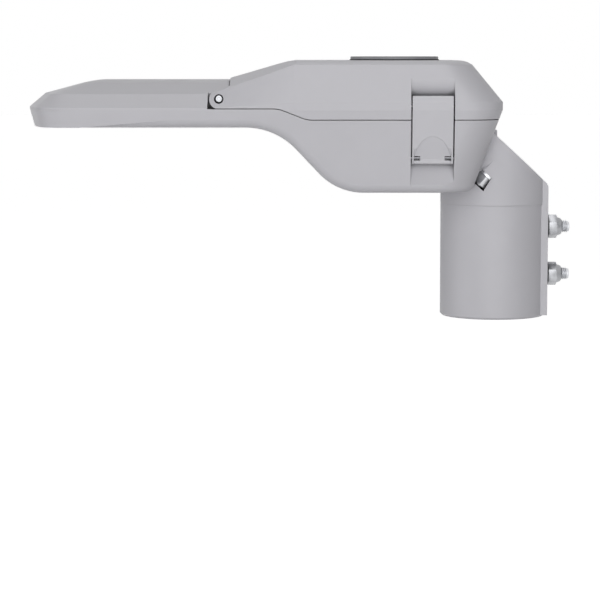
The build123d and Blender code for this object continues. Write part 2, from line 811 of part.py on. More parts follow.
def cover_holes():
    holes = rod_z(cap_thread / 2 + cap_hole_clearance, deck_z - cover_wall - 5, deck_z + 5, -cap_x, 0)
    for side in (-1, 1):
        web_end = side * (lug_inner() + hinge_web)
        start, end = side * (lug_inner() - 5), web_end
        holes = holes + rod_y(bush_radius(), min(start, end), max(start, end), -hinge_x, hinge_z)
        start, end = web_end, side * (half_width + 5)
        holes = holes + rod_y(hinge_head / 2 + hinge_head_room, min(start, end), max(start, end),
                              -hinge_x, hinge_z)
        y = side * (half_width - keeper_in)
        holes = holes + rod_x(keeper_pin / 2, -latch_x - keeper_length() / 2, -latch_x + keeper_length() / 2,
                              y, keeper_z)
    return holes


def make_hinge_bush():
    outer = rod_y(bush_radius(), -lug_inner() - hinge_web, -lug_inner(), -hinge_x, hinge_z)
    flange = rod_y(bush_radius() + 1.2, -lug_inner(), -hinge_side - 0.15, -hinge_x, hinge_z)
    bore = rod_y(hinge_thread / 2 + hinge_running_gap, -half_width, 0, -hinge_x, hinge_z)
    return outer + flange - bore


def make_hinge_screw():
    seat = lug_inner() + hinge_web + 0.1
    screw = pan_screw(hinge_thread, seat - hinge_side + hinge_grip, hinge_head, hinge_head_height)
    return Pos(-hinge_x, -seat, hinge_z) * Rot(90, 0, 0) * screw


# Left latch lever, flush with the wall; it turns on its lower pin and hooks over the cover's keeper
def make_latch_lever():
    outer = [(side_wall_y(z), z) for z in (latch_top_z, belt_top, belt_z, latch_bottom_z)]
    inner = [(y - latch_thickness, z) for y, z in reversed(outer)]
    hook_low = keeper_z + keeper_pin / 2 + hook_gap
    hook_end = half_width - keeper_in - hook_past
    root = side_wall_y(hook_low) - latch_thickness + 0.5
    hook = [(root, hook_low), (hook_end, hook_low), (hook_end, hook_low + hook_thickness * 0.6),
            (root, hook_low + hook_thickness)]
    lever = latch_section(outer + inner) + latch_section(hook)
    pivot_y = half_width - latch_pivot_in
    lever = lever + rod_x(latch_boss, -latch_x - latch_width / 2, -latch_x + latch_width / 2,
                          -pivot_y, latch_pivot_z)
    for side in (-1, 1):
        edge = side * (latch_width / 2 - window_edge)
        other = side * (latch_width / 2 - window_edge - window_width)
        lever = lever - latch_window(-latch_x + min(edge, other), -latch_x + max(edge, other))
    lever = lever - rod_x(latch_pin / 2 + latch_running_gap, -latch_x - latch_width, -latch_x + latch_width,
                          -pivot_y, latch_pivot_z)
    return lever - dish()


# A window through the lever at its pin, with a face that slopes out above it
def latch_window(start, end):
    low = latch_pivot_z - latch_pin / 2 - 1.1
    high = low + window_height
    back = half_width - latch_pivot_in - latch_boss - 1
    face = side_wall_y(high + window_ramp)
    points = [(half_width + 5, low), (back, low), (back, high), (face - latch_thickness, high),
              (face + 0.05, high + window_ramp), (half_width + 5, high + window_ramp)]
    section = make_face(Polyline(*[(start, -y, z) for y, z in points], close=True))
    return extrude(section, end - start, dir=(1, 0, 0))


def latch_section(points):
    face = make_face(Polyline(*[(-latch_x, -y, z) for y, z in points], close=True))
    return extrude(face, latch_width / 2, dir=(1, 0, 0), both=True)


# Arched thumb dish in the lever's lower half
def dish():
    low = latch_bottom_z - 1
    arch_half = latch_width / 2 - 1.2
    rise = dish_top_z - low
    arch = Pos(-latch_x, low) * Ellipse(arch_half, rise)
    arch = arch & (Pos(-latch_x, low + far / 2) * Rectangle(far, far))
    prism = extrude(Plane.XZ * arch, half_width + 5)
    cut_face = side_wall_y(dish_top_z) - 0.2
    lean = math.radians(side_lean + 4.0)
    depth_low = cut_face - dish_depth - rise * math.tan(lean)
    points = [(half_width + 5, low - 1), (depth_low, low - 1), (cut_face, dish_top_z),
              (half_width + 5, dish_top_z)]
    keep = make_face(Polyline(*[(-latch_x, -y, z) for y, z in points], close=True))
    limit = extrude(keep, latch_width, dir=(1, 0, 0), both=True)
    front = block(-far, far, -half_width - 20, -side_wall_y(latch_bottom_z) + latch_thickness - 1.2, 0, far)
    return prism & limit & front


def make_latch_pin():
    y = -(half_width - latch_pivot_in)
    return rod_x(latch_pin / 2, -latch_x - keeper_length() / 2, -latch_x + keeper_length() / 2,
                 y, latch_pivot_z)


def make_keeper_pin():
    y = -(half_width - keeper_in)
    return rod_x(keeper_pin / 2, -latch_x - keeper_length() / 2, -latch_x + keeper_length() / 2,
                 y, keeper_z)


def make_gasket():
    return gasket_body()


# Blanking cap on the deck, with its seal and the nut inside
def make_cap():
    low = deck_z + cap_seal_thickness
    disc = Pos(-cap_x, 0, low + cap_height / 2) * Cylinder(cap_diameter / 2, cap_height)
    disc = chamfer(disc.edges().filter_by(GeomType.CIRCLE).sort_by(Axis.Z)[-1:], cap_chamfer)
    shank = rod_z(cap_thread / 2, low - cap_thread_length, low, -cap_x, 0)
    bore = rod_z(cap_thread / 2 - 3, low - cap_thread_length - 1, low - 0.5, -cap_x, 0)
    return disc + shank - bore


def make_cap_seal():
    disc = Cylinder(cap_seal_diameter / 2, cap_seal_thickness)
    ring = Pos(-cap_x, 0, deck_z + cap_seal_thickness / 2) * disc
    return ring - rod_z(cap_thread / 2 + 0.5, deck_z - 1, deck_z + 2, -cap_x, 0)


def make_cap_nut():
    top = deck_z - cover_wall
    nut = hex_nut(cap_nut_flats, cap_nut_height, cap_thread / 2)
    return Pos(-cap_x, 0, top - cap_nut_height) * nut


# Neck casting: pole sleeve, flat-sided upper part and sloping roof
def make_neck():
    sleeve = rod_z(sleeve_radius, 0, bowl_bottom_z, 0, 0)
    sleeve = chamfer(sleeve.edges().filter_by(GeomType.CIRCLE).sort_by(Axis.Z)[:1], mouth_chamfer)
    upper_face = RectangleRounded(2 * sleeve_radius, 2 * neck_half_width, neck_corner)
    upper = extrude(Pos(0, 0, neck_start) * upper_face, rim_height - neck_start)
    pad = block(sleeve_radius - 6, sleeve_radius + pad_proud, -pad_width / 2, pad_width / 2,
                pad_start, rim_height)
    solid = sleeve + (upper + pad - above_roof())
    roof_edges = solid.edges().filter_by(lambda e: e.center().Z > neck_start and abs(e.center().Y) < 1)
    solid = fillet(roof_edges.sort_by(Axis.X)[-1:], roof_edge_radius)
    rim_half = neck_half_width - 4
    rim = block(-neck_corner, rim_face, -rim_half, rim_half, rim_height - 18, rim_height)
    over_bowl = block(-far, far, -far, far, bowl_bottom_z, far)
    solid = solid + rim - (rear_space(seat_gap) & over_bowl)
    lug = Pos(0, 0, web_thickness / 2) * Cylinder(lug_radius, web_thickness)
    lugs = on_studs(lug) & block(-far, far, -neck_half_width, neck_half_width, 0, far)
    solid = solid + lugs
    return solid - neck_inside() - neck_notches() - ear_slots() - neck_holes()


# Room for washers and nuts, open at the neck's sides
def neck_notches():
    radius = washer_diameter / 2 + notch_clearance
    length = washer_thickness + neck_nut_height + stud_tail + end_gap
    return on_studs(Pos(0, 0, -length / 2) * Cylinder(radius, length))


# Slots that the body's ears slide into
def ear_slots():
    low = web_thickness
    height = ear_thickness + 2 * seat_gap
    slots = None
    for side in (-1, 1):
        plate = Pos(-ear_reach / 2, 0, low + height / 2) * Box(ear_reach, ear_reach, height)
        end = Pos(0, 0, low + height / 2) * Cylinder(lug_radius, height)
        inner, outer = sorted((side * (ear_inner - seat_gap), side * (ear_outer + seat_gap)))
        slot = stud_plane(side) * (plate + end)
        slot = slot & block(-far, far, inner, outer, 0, far)
        slots = slot if slots is None else slots + slot
    return slots


def neck_inside():
    bore = rod_z(pole_bore / 2, -1, socket_depth, 0, 0)
    passage = block(-pole_bore / 2 + 6, pole_bore / 2 - 4, -cable_way / 2, cable_way / 2,
                    socket_depth - 1, rim_height - neck_wall)
    passage = passage - above_roof(neck_wall) - rear_space(seat_gap + neck_front_wall)
    window = gland_plane() * Cylinder(gland_flats * 0.75, 40)
    window = window & block(-far, far, -cable_way / 2, cable_way / 2, 0, rim_height - neck_wall)
    return bore + passage + (window - above_roof(neck_wall))


def neck_holes():
    holes = None
    for height in clamp_heights:
        hole = rod_x(thread / 2, sleeve_radius - 12, sleeve_radius + 10, 0, height)
        holes = hole if holes is None else holes + hole
    stud_hole = Pos(0, 0, web_thickness / 2) * Cylinder(thread / 2 + stud_clearance, web_thickness + 2)
    return holes + on_studs(stud_hole)


# Parts that come in pairs on the neck's two studs
def on_studs(shape):
    return stud_plane(-1) * shape + stud_plane(1) * shape


def make_neck_studs():
    low = -washer_thickness - neck_nut_height - stud_tail
    high = web_thickness + ear_thickness
    return on_studs(Pos(0, 0, (low + high) / 2) * Cylinder(thread / 2, high - low))


def make_neck_washers():
    ring = Cylinder(washer_diameter / 2, washer_thickness) - Cylinder(thread / 2 + 0.3, washer_thickness + 1)
    return on_studs(Pos(0, 0, -washer_thickness / 2) * ring)


def make_neck_nuts():
    nut = hex_nut(nut_flats, neck_nut_height, thread / 2)
    return on_studs(Pos(0, 0, -washer_thickness) * Rot(180, 0, 30) * nut)


def make_clamp_screws():
    start = pole_bore / 2 + 0.2
    rods = None
    for height in clamp_heights:
        rod = rod_x(thread / 2, start, clamp_end, 0, height)
        rods = rod if rods is None else rods + rod
    return rods


# A shape stood on the pad at each clamp screw, with its axis along the screw
def on_clamp_screws(shape):
    seats = None
    for height in clamp_heights:
        seat = Pos(sleeve_radius + pad_proud, 0, height) * Rot(0, 90, 0) * Rot(0, 0, nut_turn) * shape
        seats = seat if seats is None else seats + seat
    return seats


def make_clamp_washers():
    ring = Cylinder(clamp_washer_diameter / 2, clamp_washer) - Cylinder(thread / 2, clamp_washer + 1)
    return on_clamp_screws(Pos(0, 0, clamp_washer / 2) * ring)


def make_clamp_nuts():
    return on_clamp_screws(Pos(0, 0, clamp_washer) * hex_nut(nut_flats, nut_height, thread / 2, nut_collar))


# Glass, its seal and the frame that holds it
def frame_low():
    return head_bottom_z + frame_recess


def make_glass_frame():
    ring = extrude(light_outline(fit_gap, frame_low()), frame_thickness)
    ring = ring - extrude(light_outline(optics_inset(), frame_low() - 1), frame_thickness + 2)
    for x, y in frame_screw_places():
        ring = ring - rod_z(small_screw / 2, frame_low() - 1, frame_low() + frame_thickness + 1, x, y)
    return ring


def make_glass():
    low = frame_low() + frame_thickness
    return extrude(light_outline(frame_lap + fit_gap, low), glass_thickness)


def make_glass_seal():
    low = frame_low() + frame_thickness + glass_thickness
    ring = extrude(light_outline(frame_lap + fit_gap, low), glass_seal)
    return ring - extrude(light_outline(optics_inset(), low - 1), glass_seal + 2)


def make_frame_screws():
    screws = None
    for x, y in frame_screw_places():
        screw = Pos(x, y, frame_low()) * Rot(180, 0, 0) * pan_screw(small_screw - 1, frame_thickness + 6,
                                                                   small_head - 1, small_head_height - 0.6)
        screws = screw if screws is None else screws + screw
    return screws


# Lens pitch across the head, so that the plates end just inside the board's screws
def row_pitch():
    half = board_box()[2]
    reach = half - board_edge - (small_head - 1) / 2 - lens_screw_gap
    return (2 * reach + lens_plate_gap) / lens_rows


# Light board with its chips and lens plates
def lens_places():
    front, rear, _ = board_box()
    middle = (front + rear) / 2
    columns = [middle + (k - (lens_columns - 1) / 2) * lens_pitch for k in range(lens_columns)]
    rows = [(k - (lens_rows - 1) / 2) * row_pitch() for k in range(lens_rows)]
    return columns, rows


def make_board():
    front, rear, half = board_box()
    board = block(front, rear, -half, half, board_z - board_thickness, board_z)
    for x, y in board_screw_places():
        board = board - rod_z(small_screw / 2, board_z - 5, board_z + 1, x, y)
    return board


def make_chips():
    columns, rows = lens_places()
    top = board_z - board_thickness
    chips = None
    for x in columns:
        for y in rows:
            chip = block(x - chip_size / 2, x + chip_size / 2, y - chip_size / 2, y + chip_size / 2,
                         top - chip_height, top)
            chips = chip if chips is None else chips + chip
    return chips


def make_lens_plate(first_row):
    columns, rows = lens_places()
    pair = rows[first_row:first_row + lens_rows // 2]
    top = board_z - board_thickness
    margin = lens_pitch / 2
    side = (row_pitch() - lens_plate_gap) / 2
    plate = block(columns[0] - margin, columns[-1] + margin, pair[0] - side, pair[-1] + side,
                  top - lens_plate, top)
    for x in columns:
        for y in pair:
            dome = scale(Sphere(lens_radius), by=(1, 1.15, lens_drop / lens_radius))
            plate = plate + Pos(x, y, top - lens_plate) * dome
    plate = plate & block(-far, far, -far, far, 0, top)
    for x in columns:
        for y in pair:
            hollow = Pos(x, y, top) * Sphere(chip_size * 0.95)
            plate = plate - hollow
    return plate


def make_board_screws():
    screws = None
    for x, y in board_screw_places():
        low = board_z - board_thickness
        screw = Pos(x, y, low) * Rot(180, 0, 0) * pan_screw(small_screw - 1, board_thickness + 5,
                                                           small_head - 1, small_head_height)
        screws = screw if screws is None else screws + screw
    return screws


# Gear tray and what it carries
def tray_low():
    return bowl_bottom_z + body_wall + tray_boss


def tray_high():
    return tray_low() + tray_thickness


def driver_place():
    return -tray_front + 3 + driver_width / 2


def driver_screw_places():
    x = driver_place()
    y = driver_length / 2 + driver_flange / 2
    return [(x, -y), (x, y)]


def small_gear_x():
    return -tray_rear - 9.0


def make_tray():
    tray = block(-tray_front, -tray_rear, -tray_half, tray_half, tray_low(), tray_high())
    tray = fillet(tray.edges().filter_by(Axis.Z), 5)
    for x, y in tray_places() + driver_screw_places():
        tray = tray - rod_z(small_screw / 2, tray_low() - 1, tray_high() + 1, x, y)
    return tray


def make_tray_screws():
    screws = None
    for x, y in tray_places():
        screw = Pos(x, y, tray_high()) * pan_screw(small_screw, tray_thickness + 4.5, small_head,
                                                   small_head_height)
        screws = screw if screws is None else screws + screw
    return screws


def make_driver():
    x = driver_place()
    case = block(x - driver_width / 2, x + driver_width / 2, -driver_length / 2, driver_length / 2,
                 tray_high(), tray_high() + driver_height)
    case = fillet(case.edges().filter_by(Axis.Y).sort_by(Axis.Z)[-2:], 4)
    flange = block(x - driver_width / 4, x + driver_width / 4, -driver_length / 2 - driver_flange,
                   driver_length / 2 + driver_flange, tray_high(), tray_high() + driver_flange_thickness)
    driver = case + flange
    for hole_x, y in driver_screw_places():
        driver = driver - rod_z(small_screw / 2, tray_high() - 1, tray_high() + driver_flange_thickness + 1,
                                hole_x, y)
    return driver


def make_driver_screws():
    screws = None
    for x, y in driver_screw_places():
        screw = Pos(x, y, tray_high() + driver_flange_thickness) * pan_screw(
            small_screw, driver_flange_thickness + tray_thickness, small_head, small_head_height)
        screws = screw if screws is None else screws + screw
    return screws


def make_surge_protector():
    x = small_gear_x() + 1
    return Pos(x, -28, tray_high()) * extrude(RectangleRounded(12, 34, 3), 24)


def make_terminal_block():
    x = small_gear_x() + 1
    pitch = 8.0
    ways = 5
    length = pitch * ways
    body = block(x - 6, x + 6, 8, 8 + length, tray_high(), tray_high() + 15)
    for k in range(ways):
        y = 8 + pitch * (k + 0.5)
        body = body - rod_z(2.2, tray_high() + 7, tray_high() + 16, x, y)
        body = body - rod_x(2.4, x - 7, x + 7, y, tray_high() + 5)
    return body


# Cable gland through the rear wall into the neck
def make_gland():
    wall = gland_plane()
    head = Pos(0, 0, 2.5) * extrude(RegularPolygon(gland_flats / math.sqrt(3), 6), 5, both=True)
    head = head & (Pos(0, 0, 25) * Box(60, 60, 50))
    dome = Pos(0, 0, 7.5 + 4.5) * Cone(10.5, 8.0, 9.0)
    shank = Pos(0, 0, -5.5) * Cylinder(gland_thread / 2, 11)
    bore = Cylinder(5.0, 60)
    return wall * (head + dome + shank - bore)


def make_earth_screw():
    top = bowl_bottom_z + body_wall + earth_boss
    return Pos(-earth_x, 0, top) * pan_screw(small_screw, 6, small_head, small_head_height)


def make_gland_nut():
    wall = gland_plane()
    nut = hex_nut(gland_flats, 4.0, gland_thread / 2)
    return wall * (Pos(0, 0, -body_wall / math.cos(math.radians(rear_lean)) - 4.0) * nut)


def make_breather():
    head = rod_z(9.0, bowl_bottom_z - 2.6, bowl_bottom_z, -breather_x, 0)
    head = fillet(head.edges().filter_by(GeomType.CIRCLE).sort_by(Axis.Z)[:1], 1.2)
    top = bowl_bottom_z + body_wall
    shank = rod_z(breather_thread / 2, bowl_bottom_z, top, -breather_x, 0)
    vent = rod_z(2.0, bowl_bottom_z - 4, top + 1, -breather_x, 0)
    return head + shank - vent


nodes = {
    "housing": make_housing,
    "top_cover": make_cover,
    "cover_gasket": make_gasket,
    "hinge_bush_left": make_hinge_bush,
    "hinge_bush_right": lambda: other_side(make_hinge_bush()),
    "hinge_screw_left": make_hinge_screw,
    "hinge_screw_right": lambda: other_side(make_hinge_screw()),
    "latch_lever_left": make_latch_lever,
    "latch_lever_right": lambda: other_side(make_latch_lever()),
    "latch_pin_left": make_latch_pin,
    "latch_pin_right": lambda: other_side(make_latch_pin()),
    "keeper_pin_left": make_keeper_pin,
    "keeper_pin_right": lambda: other_side(make_keeper_pin()),
    "deck_cap": make_cap,
    "deck_cap_seal": make_cap_seal,
    "deck_cap_nut": make_cap_nut,
    "neck": make_neck,
    "neck_studs": make_neck_studs,
    "neck_washers": make_neck_washers,
    "neck_nuts": make_neck_nuts,
    "clamp_screws": make_clamp_screws,
    "clamp_washers": make_clamp_washers,
    "clamp_nuts": make_clamp_nuts,
    "glass": make_glass,
    "glass_seal": make_glass_seal,
    "glass_frame": make_glass_frame,
    "frame_screws": make_frame_screws,
    "light_board": make_board,
    "light_chips": make_chips,
    "lens_plate_left": lambda: make_lens_plate(0),
    "lens_plate_right": lambda: make_lens_plate(lens_rows // 2),
    "board_screws": make_board_screws,
    "gear_tray": make_tray,
    "tray_screws": make_tray_screws,
    "driver": make_driver,
    "driver_screws": make_driver_screws,
    "surge_protector": make_surge_protector,
    "terminal_block": make_terminal_block,
    "cable_gland": make_gland,
    "gland_nut": make_gland_nut,
    "breather": make_breather,
    "earth_screw": make_earth_screw,
}

os.makedirs("parts", exist_ok=True)
for name, make in nodes.items():
    export_step(make(), f"parts/{name}.step")
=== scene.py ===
import bpy
import json
import math
from mathutils import Euler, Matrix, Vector


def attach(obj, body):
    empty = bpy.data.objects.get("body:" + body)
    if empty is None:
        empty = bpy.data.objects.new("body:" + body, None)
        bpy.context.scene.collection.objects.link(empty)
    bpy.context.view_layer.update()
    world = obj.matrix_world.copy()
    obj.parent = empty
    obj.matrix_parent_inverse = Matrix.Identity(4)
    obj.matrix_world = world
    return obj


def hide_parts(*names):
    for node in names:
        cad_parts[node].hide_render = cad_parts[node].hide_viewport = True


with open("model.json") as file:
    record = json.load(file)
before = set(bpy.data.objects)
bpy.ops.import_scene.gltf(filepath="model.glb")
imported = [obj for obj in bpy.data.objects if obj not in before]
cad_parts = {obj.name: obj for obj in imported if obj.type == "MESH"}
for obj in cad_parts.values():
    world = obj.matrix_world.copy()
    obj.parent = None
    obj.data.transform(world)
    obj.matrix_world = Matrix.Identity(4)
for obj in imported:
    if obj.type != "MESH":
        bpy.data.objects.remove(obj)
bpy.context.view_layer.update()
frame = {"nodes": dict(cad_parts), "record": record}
nodes = frame["nodes"]
print("frame loaded:", len(nodes), "nodes")


def linear(grey):
    # grey level as seen on screen, 0 to 255, to the scene's own value
    c = grey / 255.0
    return c / 12.92 if c <= 0.04045 else ((c + 0.055) / 1.055) ** 2.4


def rgb(r, g, b):
    return (linear(r), linear(g), linear(b), 1.0)


# the part of a noise's range over which a finish changes, and the rays per shading sample
noiseSpan = (0.3, 0.7)
shadeSamples = {"edge": 6, "gap": 8}


def newMaterial(name, colour, roughness, metallic=0.0):
    mat = bpy.data.materials.new(name)
    mat.use_nodes = True
    shader = mat.node_tree.nodes["Principled BSDF"]
    shader.inputs["Base Color"].default_value = colour
    shader.inputs["Roughness"].default_value = roughness
    shader.inputs["Metallic"].default_value = metallic
    return mat, mat.node_tree, shader


def objectNoise(tree, size, detail=2.0, roughness=0.5):
    # noise on Object coordinates, its grain size in metres
    coord = tree.nodes.new("ShaderNodeTexCoord")
    noise = tree.nodes.new("ShaderNodeTexNoise")
    noise.inputs["Scale"].default_value = 1.0 / size
    noise.inputs["Detail"].default_value = detail
    noise.inputs["Roughness"].default_value = roughness
    tree.links.new(coord.outputs["Object"], noise.inputs["Vector"])
    return noise


def valueRange(tree, source, fromSpan, toSpan=(0.0, 1.0)):
    spread = tree.nodes.new("ShaderNodeMapRange")
    spread.inputs["From Min"].default_value = fromSpan[0]
    spread.inputs["From Max"].default_value = fromSpan[1]
    spread.inputs["To Min"].default_value = toSpan[0]
    spread.inputs["To Max"].default_value = toSpan[1]
    tree.links.new(source, spread.inputs["Value"])
    return spread.outputs["Result"]


def colourMix(tree, blend="MIX"):
    # a colour mixer, with its two colour inputs and its colour output
    mix = tree.nodes.new("ShaderNodeMix")
    mix.data_type = "RGBA"
    mix.blend_type = blend
    inputs = [s for s in mix.inputs if s.type == "RGBA"]
    output = [s for s in mix.outputs if s.type == "RGBA"][0]
    return mix, inputs, output


def tint(tree, shader, noise, dark, light):
    ramp = tree.nodes.new("ShaderNodeValToRGB")
    for step, position, colour in zip(ramp.color_ramp.elements, noiseSpan, (dark, light)):
        step.position = position
        step.color = colour
    tree.links.new(noise.outputs["Fac"], ramp.inputs["Fac"])
    tree.links.new(ramp.outputs["Color"], shader.inputs["Base Color"])
    return ramp


def sheen(tree, shader, noise, low, high):
    spread = valueRange(tree, noise.outputs["Fac"], noiseSpan, (low, high))
    tree.links.new(spread, shader.inputs["Roughness"])


def softEdges(tree, radius):
    # rounds the corners in shading, as the coat or the press tool does
    edge = tree.nodes.new("ShaderNodeBevel")
    edge.samples = shadeSamples["edge"]
    edge.inputs["Radius"].default_value = radius
    return edge


def paintGapShade(tree, colour, reach, span):
    # painted shade: the colour darkens in narrow gaps and recesses, where the surface is closely
    # shut in and less light reaches it
    gapOcclusion = tree.nodes.new("ShaderNodeAmbientOcclusion")
    gapOcclusion.samples = shadeSamples["gap"]
    gapOcclusion.inputs["Distance"].default_value = reach
    level = valueRange(tree, gapOcclusion.outputs["AO"], span)
    mix, inputs, output = colourMix(tree, "MULTIPLY")
    mix.inputs["Factor"].default_value = 1.0
    tree.links.new(colour, inputs[0])
    tree.links.new(level, inputs[1])
    return output


def grain(tree, shader, noise, strength, distance, edge):
    bump = tree.nodes.new("ShaderNodeBump")
    bump.inputs["Strength"].default_value = strength
    bump.inputs["Distance"].default_value = distance
    tree.links.new(noise.outputs["Fac"], bump.inputs["Height"])
    tree.links.new(edge.outputs["Normal"], bump.inputs["Normal"])
    tree.links.new(bump.outputs["Normal"], shader.inputs["Normal"])


# edgeBend is how far two faces turn before their edge counts as sharp, as a cosine
powderCoat = {
    "dark": (189, 188, 193), "light": (193, 192, 197), "roughness": (0.43, 0.52), "cloud": 0.04,
    "edge": (203, 202, 206), "edgeRadius": 0.0005, "edgeBend": (0.995, 0.93), "edgeShare": 0.7,
    "peel": 0.0009, "peelDepth": 0.00003, "peelStrength": 0.25,
    # the gap values set the painted shade: how far it reaches and over what range it darkens
    "gapShadeReach": 0.007, "gapShadeSpan": (0.10, 0.62),
}


def makePowderCoat(name, look):
    mat, tree, shader = newMaterial(name, rgb(*look["light"]), look["roughness"][0])
    cloud = objectNoise(tree, look["cloud"], 3.0)
    ramp = tint(tree, shader, cloud, rgb(*look["dark"]), rgb(*look["light"]))
    edge = softEdges(tree, look["edgeRadius"])
    # the colour turns lighter on sharp corners
    geometry = tree.nodes.new("ShaderNodeNewGeometry")
    bend = tree.nodes.new("ShaderNodeVectorMath")
    bend.operation = "DOT_PRODUCT"
    tree.links.new(geometry.outputs["Normal"], bend.inputs[0])
    tree.links.new(edge.outputs["Normal"], bend.inputs[1])
    onEdge = valueRange(tree, bend.outputs["Value"], look["edgeBend"], (0.0, look["edgeShare"]))
    mix, inputs, mixed = colourMix(tree)
    tree.links.new(ramp.outputs["Color"], inputs[0])
    inputs[1].default_value = rgb(*look["edge"])
    tree.links.new(onEdge, mix.inputs["Factor"])
    # painted shade in narrow gaps, multiplied into the coat's colour
    shaded = paintGapShade(tree, mixed, look["gapShadeReach"], look["gapShadeSpan"])
    tree.links.new(shaded, shader.inputs["Base Color"])
    peel = objectNoise(tree, look["peel"], 3.0, 0.6)
    sheen(tree, shader, cloud, *look["roughness"])
    grain(tree, shader, peel, look["peelStrength"], look["peelDepth"], edge)
    return mat


plain = {"size": 0.004, "edgeRadius": 0.0002, "bump": 0.15, "bumpDepth": 0.00003, "unevenness": 0.15}


def makePlain(name, dark, light, roughness, metallic=0.0, **changes):
    # a moulded or pressed finish, slightly uneven in colour and shine
    look = dict(plain, **changes)
    mat, tree, shader = newMaterial(name, rgb(*light), roughness, metallic)
    noise = objectNoise(tree, look["size"], 3.0)
    tint(tree, shader, noise, rgb(*dark), rgb(*light))
    uneven = look["unevenness"]
    sheen(tree, shader, noise, roughness * (1 - uneven), min(roughness * (1 + uneven), 1.0))
    grain(tree, shader, noise, look["bump"], look["bumpDepth"], softEdges(tree, look["edgeRadius"]))
    return mat


steel = {
    "dark": (140, 141, 144), "light": (164, 165, 168), "roughness": 0.3, "spread": (0.8, 1.3),
    "patch": 0.006, "turning": 0.0007, "markStrength": 0.12, "markDepth": 0.00002,
    "edgeRadius": 0.00025,
}
# the pins deep in the latches get a darker copy of the steel, painted shade for the dark windows
# they sit in
shadedPinSteel = dict(steel, dark=(104, 104, 107), light=(124, 124, 128), roughness=0.2)
# a lighter copy of the steel, painted light, so the neck's washers, nuts and studs and the clamp
# screws look bright
litSteelLook = dict(steel, dark=(186, 187, 190), light=(204, 205, 208), roughness=0.42)


def makeTurnedSteel(name, look):
    # bright metal with fine turning marks and a few duller patches
    mat, tree, shader = newMaterial(name, rgb(*look["light"]), look["roughness"], 1.0)
    patches = objectNoise(tree, look["patch"])
    tint(tree, shader, patches, rgb(*look["dark"]), rgb(*look["light"]))
    sheen(tree, shader, patches, *[look["roughness"] * share for share in look["spread"]])
    marks = objectNoise(tree, look["turning"], 1.0, 0.4)
    grain(tree, shader, marks, look["markStrength"], look["markDepth"],
          softEdges(tree, look["edgeRadius"]))
    return mat


glass = {"colour": (0.95, 0.98, 0.97, 1.0), "clear": 1.0, "bending": 1.5, "smear": 0.05,
         "roughness": (0.0, 0.04)}
lensPlastic = {"dark": (0.88, 0.91, 0.93, 1.0), "light": (0.95, 0.97, 0.98, 1.0), "clear": 0.75,
               "bending": 1.49, "haze": 0.01, "roughness": (0.04, 0.12)}


def makeGlass(look):
    mat, tree, shader = newMaterial("clearGlass", look["colour"], look["roughness"][1])
    shader.inputs["Transmission Weight"].default_value = look["clear"]
    shader.inputs["IOR"].default_value = look["bending"]
    sheen(tree, shader, objectNoise(tree, look["smear"]), *look["roughness"])
    return mat


def makeLensPlastic(look):
    # clear moulded lenses, seen as pale grey rings over the chips
    mat, tree, shader = newMaterial("lensPlastic", look["light"], look["roughness"][1])
    shader.inputs["Transmission Weight"].default_value = look["clear"]
    shader.inputs["IOR"].default_value = look["bending"]
    haze = objectNoise(tree, look["haze"])
    tint(tree, shader, haze, look["dark"], look["light"])
    sheen(tree, shader, haze, *look["roughness"])
    return mat


# dark tone, light tone, roughness and, for metals, how metallic the finish is
latchCoat = dict(powderCoat, dark=(191, 190, 195), light=(195, 194, 199))
finishes = {
    "casting_grey": makePowderCoat("powderCoatGrey", powderCoat),
    "latch_grey": makePowderCoat("latchGrey", latchCoat),
    "black_rubber": makePlain("blackRubber", (22, 22, 23), (32, 32, 33), 0.75, size=0.001),
    "black_plastic": makePlain("blackPlastic", (28, 28, 30), (40, 40, 42), 0.5),
    "dark_plastic": makePlain("darkPlastic", (140, 141, 144), (150, 151, 154), 0.5,
                              edgeRadius=0.0004),
    "stainless_steel": makeTurnedSteel("stainlessSteel", steel),
    "litFixingSteel": makeTurnedSteel("litSteelLook", litSteelLook),
    "clear_glass": makeGlass(glass),
    "frame_aluminium": makePlain("frameAluminium", (180, 181, 184), (196, 197, 200), 0.35, 0.6),
    "white_board": makePlain("whiteBoard", (222, 223, 220), (232, 233, 230), 0.4),
    "chip_yellow": makePlain("chipYellow", (226, 190, 80), (238, 208, 104), 0.4, size=0.001),
    "lens_plastic": makeLensPlastic(lensPlastic),
    "zinc_steel": makePlain("zincSteel", (176, 180, 184), (200, 204, 208), 0.35, 0.9),
    "driver_white": makePlain("driverWhite", (218, 218, 214), (230, 230, 226), 0.5),
    "brass_screw": makePlain("brassScrew", (196, 160, 88), (216, 182, 108), 0.3, 1.0),
}

slotOf = {part["node"]: part["material_slot"] for part in frame["record"]["subparts"]}
pinInShade = makeTurnedSteel("pinInShade", shadedPinSteel)
for nodeName, obj in nodes.items():
    # the latch and keeper pins take the darkened steel, painted shade
    if "latch_pin" in nodeName or "keeper_pin" in nodeName:
        finish = pinInShade
    # the neck's washers take the lightened steel, painted light
    elif nodeName == "neck_washers":
        finish = finishes["litFixingSteel"]
    else:
        finish = finishes[slotOf[nodeName]]
    obj.data.materials.clear()
    obj.data.materials.append(finish)
print("finishes given to", len(nodes), "nodes")


samePlane = 1e-6      # metres, within which points count as level
smoothAngle = 32      # degrees, below which two faces are shaded as one
sharpAngle = 25       # degrees, above which a nut's edge is broken
overlap = 0.00001     # metres, by which a cutting tool passes the face that it cuts


def pick(obj):
    bpy.ops.object.select_all(action="DESELECT")
    obj.select_set(True)
    bpy.context.view_layer.objects.active = obj


def drop(obj):
    pick(obj)
    bpy.ops.object.delete()


def applyModifier(obj, kind, **values):
    pick(obj)
    modifier = obj.modifiers.new(kind.lower(), kind)
    for key, value in values.items():
        setattr(modifier, key, value)
    bpy.ops.object.modifier_apply(modifier=modifier.name)


